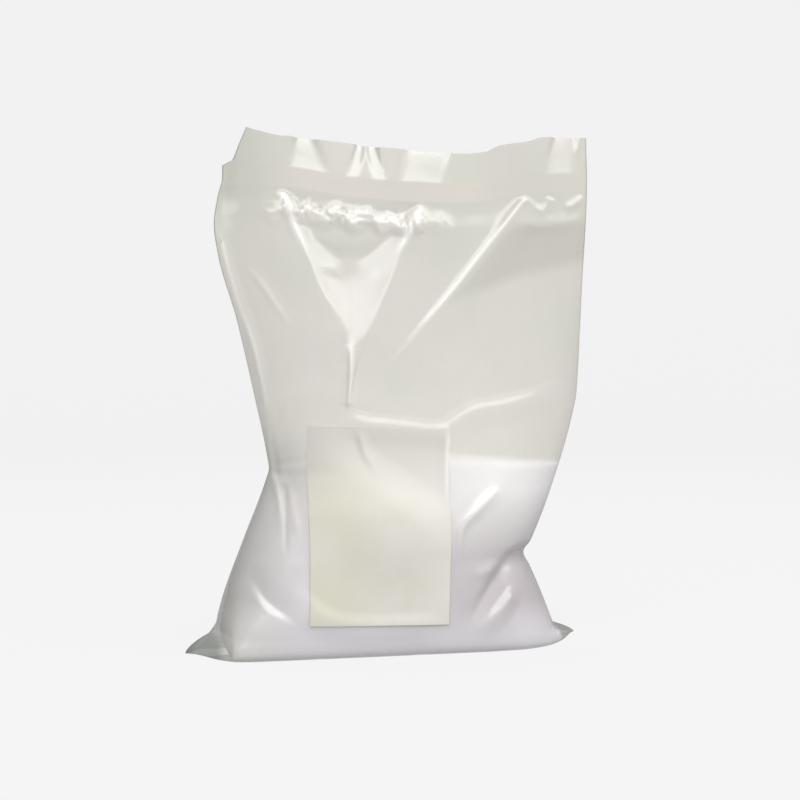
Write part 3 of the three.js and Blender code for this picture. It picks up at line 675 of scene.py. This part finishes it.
axes = addNode(tree, "ShaderNodeSeparateXYZ", {0: place})
tints = {}
for name in ("warmAcross", "shadedTop"):
    axis, start, end, atStart, atEnd = labelFinish[name]
    tints[name] = addNode(tree, "ShaderNodeMapRange", {
        "Value": axes.outputs[axis], "From Min": start, "From Max": end,
        "To Min": atStart, "To Max": atEnd}).outputs[0]
uneven = addNode(tree, "ShaderNodeMapRange", {
    "Value": mottle.outputs["Fac"], "From Min": 0.35, "From Max": 0.65,
    "To Min": -labelFinish["uneven"], "To Max": labelFinish["uneven"]})
mottled = addNode(tree, "ShaderNodeMath", {0: tints["warmAcross"], 1: uneven.outputs[0]},
                  operation="ADD", use_clamp=True)
paper = addNode(tree, "ShaderNodeMix", {
    0: mottled.outputs[0], 6: toLinear(labelFinish["colour"]), 7: toLinear(labelFinish["warm"])},
    data_type="RGBA")
# painted shade: the top of the label is darker
topShaded = addNode(tree, "ShaderNodeMix", {
    0: tints["shadedTop"], 6: paper.outputs[2], 7: toLinear(labelFinish["top"])}, data_type="RGBA")
# painted highlights along the sharpest creases, as on the film
creaseHighlightMask = addNode(tree, "ShaderNodeAttribute", attribute_name="crease").outputs["Fac"]
labelColour = addNode(tree, "ShaderNodeMix", {
    0: creaseHighlightMask, 6: topShaded.outputs[2], 7: toLinear(labelFinish["crease"])}, data_type="RGBA")
paperGrain = addNode(tree, "ShaderNodeBump", {
    "Height": fibres.outputs["Fac"], "Strength": 0.25, "Distance": 0.06 * mm})
shader = addNode(tree, "ShaderNodeBsdfPrincipled", {
    "Base Color": labelColour.outputs[2], "Roughness": labelFinish["roughness"],
    "IOR": labelFinish["ior"], "Normal": paperGrain.outputs[0]})
addNode(tree, "ShaderNodeOutputMaterial", {"Surface": shader.outputs["BSDF"]})


# The film

filmMesh = {
    "columns": (226, 124), "rowHeight": 1.0,  # columns on the front and on the back
    "footLevels": [0, 0.5, 1.2, 2.2, 3.4, 4.8, 6.4, 8.2], "evenFrom": 9.5,
    "evenTo": 0.2,  # even rows end this far below the weld
    "bandRows": 9, "lipRows": 18,
}
foot = bag["mouthFoot"]
band, cut = bag["weldBand"], bag["weldBand"] + bag["lip"]
evenLevels = np.arange(filmMesh["evenFrom"], foot - filmMesh["evenTo"], filmMesh["rowHeight"])
levels = [*filmMesh["footLevels"], *evenLevels, foot]
lengths = [*np.linspace(1, band, filmMesh["bandRows"]),
           *np.linspace(band + 1, cut, filmMesh["lipRows"])]
body = evenRings(bodyPoints, levels, filmMesh["columns"])
mouth = evenRings(mouthPoints, lengths, filmMesh["columns"])
film = loftedMesh("film", np.concatenate([body, mouth]), openTop=True)
film.data.materials.append(filmMaterial)

filmLooks = {  # where the looks of the film change, in mm, and how strongly, as shares
    "weldShare": 0.8, "faintLeft": (-75, -45), "faintLeftBy": 0.6,
    "faintRight": (45, 65), "faintRightBy": 0.5,  # the weld shows less towards its ends
    "earRoots": (-99, 93), "earBlend": (-1.5, 3), "earTop": (9, 14),
    "leftHand": (-60, -35), "dustEdge": (-2, 4), "dustEdgeLeft": 24,
    "leftWaistFrom": (-16, -5), "leftWaistTo": (2, 26),
    # the long crease, and the line below it down to which the film is painted darker as shade
    "creaseUp": [180, 198, 217, 232, 243, 254], "creaseAcross": [15, 32, 49, 62, 71, 80],
    "shadeFootAcross": [20, 48, 73, 99, 118], "shadeFootUp": [187, 197, 206, 212, 217],
    "shadeBesideCrease": (2, 8), "shadeAboveFoot": (-4, 6), "shadeUnderWeld": (-22, -12),
}
powderTop = through((-80, 98), (-50, 100), (22, 104), (50, 103), (84, 100))  # height against x
x, y, z = np.concatenate([body, mouth]).reshape(-1, 3).T
aboveWeld = z - bag["weldFoot"](x)
pressed = (filmLooks["weldShare"] - filmLooks["faintLeftBy"] * (1 - eased(x, *filmLooks["faintLeft"]))
           - filmLooks["faintRightBy"] * eased(x, *filmLooks["faintRight"]))
addMask(film, "weld", eased(aboveWeld, -1, 1) * pressed * (1 - eased(aboveWeld, band - 1, band + 1)))
# painted highlights along the sharpest creases and pleats of the front
addMask(film, "crease", paintedCreaseHighlight(x, z) * (y < 0))
beyond = np.maximum(filmLooks["earRoots"][0] - x, x - filmLooks["earRoots"][1])
addMask(film, "ear", eased(beyond, *filmLooks["earBlend"]) * (1 - eased(z, *filmLooks["earTop"])))
# At its left the film's powder colour reaches higher and thins out upwards; around the powder's top the
# film is also denser and painted darker, as shade.
leftHand = 1 - eased(x, *filmLooks["leftHand"])
aboveTop = z - powderTop(x)
dustLow, dustHigh = filmLooks["dustEdge"]
addMask(film, "dust", 1 - eased(aboveTop, dustLow, dustHigh + filmLooks["dustEdgeLeft"] * leftHand))
addMask(film, "leftWaistShade", leftHand * eased(aboveTop, *filmLooks["leftWaistFrom"])
        * (1 - eased(aboveTop, *filmLooks["leftWaistTo"])))
# Between the long crease and a line below it the film is painted darker, as shade.
creaseX = np.interp(z, filmLooks["creaseUp"], filmLooks["creaseAcross"])
shadeFoot = np.interp(x, filmLooks["shadeFootAcross"], filmLooks["shadeFootUp"])
addMask(film, "belowCreaseShade", eased(x - creaseX, *filmLooks["shadeBesideCrease"])
        * eased(z - shadeFoot, *filmLooks["shadeAboveFoot"])
        * (1 - eased(aboveWeld, *filmLooks["shadeUnderWeld"])))
print("film:", len(film.data.polygons), "faces")


# The powder

powderForm = {
    "top": 99, "columns": (150, 110), "rowHeight": 1.3, "evenFrom": 10,
    "footLevels": [0.4, 0.8, 1.4, 2.4, 3.6, 5, 6.6, 8.4],
    "across": 0.955, "acrossMore": 0.03, "widens": (15, 45),  # narrower at the foot, clear of the ears
    "shrink": (0.994, 0.988, 1),  # so that it stays inside the film
    "capRings": 30, "capFrom": 0.96, "capTo": 0.02,
}


def powderPoints(face, across, height):
    level = np.minimum(height, powderForm["top"])
    share = powderForm["across"] + powderForm["acrossMore"] * eased(level, *powderForm["widens"])
    return bodyPoints(face, across * share, level)


evenLevels = np.arange(powderForm["evenFrom"], powderForm["top"], powderForm["rowHeight"])
levels = [*powderForm["footLevels"], *evenLevels, powderForm["top"]]
rings = evenRings(powderPoints, levels, powderForm["columns"])
shrunk = rings * np.array(powderForm["shrink"])
top = shrunk[-1:]
caps = []
for share in np.linspace(powderForm["capFrom"], powderForm["capTo"], powderForm["capRings"]):
    ring = top.copy()
    ring[..., 1] *= share
    ring[..., 2] = powderTop(ring[..., 0])
    caps.append(ring)
powder = loftedMesh("powder", np.concatenate([shrunk, *caps]))
powder.data.materials.append(powderMaterial)
print("powder:", len(powder.data.polygons), "faces")


# The label

labelForm = {"width": 75, "height": 104, "thickness": 0.12, "centre": (-16.4, 69.4), "turn": 1.4,
             "gap": 0.25, "columns": 110, "rows": 150, "halvings": 24, "sharpFrom": 50}


def frontAt(x, z):  # the film's front at a place, found by halving
    low, high = -np.ones(x.shape), np.ones(x.shape)
    level = z
    for _ in range(labelForm["halvings"]):
        middle = (low + high) / 2
        left, right = bag["leftSide"](level), bag["rightSide"](level)
        short = left + (right - left) * (1 + middle) / 2 < x
        low, high = np.where(short, middle, low), np.where(short, high, middle)
    return bodyPoints(-1 + 0 * x, low, level)


def labelRings():
    turn = np.radians(labelForm["turn"])
    along, up = np.meshgrid(labelForm["width"] * (np.linspace(0, 1, labelForm["columns"]) - 0.5),
                            labelForm["height"] * (np.linspace(0, 1, labelForm["rows"]) - 0.5))
    x = labelForm["centre"][0] + along * np.cos(turn) + up * np.sin(turn)
    z = labelForm["centre"][1] + up * np.cos(turn) - along * np.sin(turn)
    back = frontAt(x, z) - np.array([0, labelForm["gap"], 0])
    front = back - np.array([0, labelForm["thickness"], 0])
    return np.concatenate([front, back[:, ::-1]], axis=1)


rings = labelRings()
label = loftedMesh("label", rings)
edges = rings.reshape(-1, 3)
# painted highlights along the sharpest creases, as on the film
addMask(label, "crease", paintedCreaseHighlight(edges[:, 0], edges[:, 2]))
label.data.set_sharp_from_angle(angle=np.radians(labelForm["sharpFrom"]))
label.data.materials.append(labelMaterial)
print("label:", len(label.data.polygons), "faces")

film.visible_shadow = False  # milky film passes most of the light, and here it casts no shadow
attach(film, "root")
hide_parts("bag")
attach(powder, "root")
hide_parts("bag")
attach(label, "root")
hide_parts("label")


# The studio

studio = {
    "backdrop": "#f1f1f1", "backdropGlow": 0.955, "backdropGrey": 0.06,
    "floorRadius": 2.2, "wallRadius": 0.9, "around": 96,
    "middle": (0, 0, 0.14), "softboxDistance": 2.4,
    "camera": (-0.1773, -0.7409, 0.1444), "tilt": 89.36, "turn": -13.8, "lens": 60.75, "sensor": 36,
}


def bowlMesh():
    profile = [(r, 0) for r in (0.001, 0.15, 0.4, 0.9, 1.5, studio["floorRadius"])]
    bend = studio["wallRadius"]
    profile += [(studio["floorRadius"] + bend * np.sin(a), bend - bend * np.cos(a))
                for a in np.linspace(0.1, np.pi / 2, 12)]
    profile += [(studio["floorRadius"] + bend, bend + h) for h in (0.6, 1.4, 2.4)]
    around = studio["around"]
    turns = np.linspace(0, 2 * np.pi, around + 1)[:-1]
    points = [(r * np.cos(t), r * np.sin(t), h) for r, h in profile for t in turns]
    faces = []
    for row in range(len(profile) - 1):
        for column in range(around):
            a, b = row * around + column, row * around + (column + 1) % around
            faces.append((a, b, b + around, a + around))
    faces.append(tuple(range(around))[::-1])
    mesh = bpy.data.meshes.new("backdrop")
    mesh.from_pydata(points, [], faces)
    mesh.shade_smooth()
    return mesh


backdrop = bpy.data.objects.new("backdrop", bowlMesh())
bpy.context.scene.collection.objects.link(backdrop)
backdropMaterial, tree = newMaterial("seamless paper")
glow = addNode(tree, "ShaderNodeEmission", {
    "Color": toLinear(studio["backdrop"]), "Strength": studio["backdropGlow"]})
matte = addNode(tree, "ShaderNodeBsdfDiffuse", {"Color": (*[studio["backdropGrey"]] * 3, 1)})
both = addNode(tree, "ShaderNodeAddShader", {0: glow.outputs[0], 1: matte.outputs[0]})
addNode(tree, "ShaderNodeOutputMaterial", {"Surface": both.outputs[0]})
backdrop.data.materials.append(backdropMaterial)
backdrop.visible_diffuse = False
backdrop.visible_glossy = False
backdrop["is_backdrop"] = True

softboxes = [  # azimuth is from the front towards the right, in degrees, and size is in metres
    {"name": "top softbox", "azimuth": 10, "elevation": 58, "size": (3.4, 1.3), "glow": 3.3},
    {"name": "right softbox", "azimuth": 66, "elevation": 36, "size": (1.0, 0.5), "glow": 3.4},
    {"name": "left strip", "azimuth": -44, "elevation": 36, "size": (0.95, 0.6), "glow": 3.6},
    {"name": "back softbox", "azimuth": 180, "elevation": 62, "size": (2.2, 1.2), "glow": 2.6},
]
for box in softboxes:
    azimuth, elevation = np.radians(box["azimuth"]), np.radians(box["elevation"])
    direction = Vector((np.sin(azimuth) * np.cos(elevation), -np.cos(azimuth) * np.cos(elevation),
                        np.sin(elevation)))
    lamp = bpy.data.lights.new(box["name"], "AREA")
    lamp.shape = "RECTANGLE"
    lamp.size, lamp.size_y = box["size"]
    lamp.energy = box["glow"] * np.pi * box["size"][0] * box["size"][1]
    holder = bpy.data.objects.new(box["name"], lamp)
    holder.location = Vector(studio["middle"]) + direction * studio["softboxDistance"]
    holder.rotation_euler = direction.to_track_quat("Z", "Y").to_euler()
    holder.visible_camera = False
    bpy.context.scene.collection.objects.link(holder)

# The walls of the room are dim on the left and pale on the right, and brighter in front and below.
walls = {  # from and to where along each axis, and how bright at either end
    "X": (-0.9, 0.6, 0.1, 0.3), "Y": (-1, 0.2, 0.38, 0.0), "Z": (-0.5, 0.1, 0.3, 0.0),
}
world = bpy.data.worlds.new("studio walls")
world.use_nodes = True
tree = world.node_tree
tree.nodes.clear()
where = addNode(tree, "ShaderNodeTexCoord")
across = addNode(tree, "ShaderNodeSeparateXYZ", {0: where.outputs["Generated"]})
wall = {}
for axis, (start, end, atStart, atEnd) in walls.items():
    wall[axis] = addNode(tree, "ShaderNodeMapRange", {
        "Value": across.outputs[axis], "From Min": start, "From Max": end,
        "To Min": atStart, "To Max": atEnd}).outputs[0]
upright = addNode(tree, "ShaderNodeMath", {0: wall["X"], 1: wall["Y"]}, operation="ADD")
shade = addNode(tree, "ShaderNodeMath", {0: upright.outputs[0], 1: wall["Z"]}, operation="ADD")
sky = addNode(tree, "ShaderNodeBackground", {"Color": (1, 1, 1, 1), "Strength": shade.outputs[0]})
addNode(tree, "ShaderNodeOutputWorld", {"Surface": sky.outputs[0]})
bpy.context.scene.world = world

camera = bpy.data.objects.new("camera", bpy.data.cameras.new("camera"))
camera.location = studio["camera"]
camera.rotation_euler = Euler((np.radians(studio["tilt"]), 0, np.radians(studio["turn"])))
camera.data.lens, camera.data.sensor_width = studio["lens"], studio["sensor"]
bpy.context.scene.collection.objects.link(camera)
bpy.context.scene.camera = camera
bpy.context.scene.view_settings.view_transform = "Standard"

lowest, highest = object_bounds()
print("studio ready")
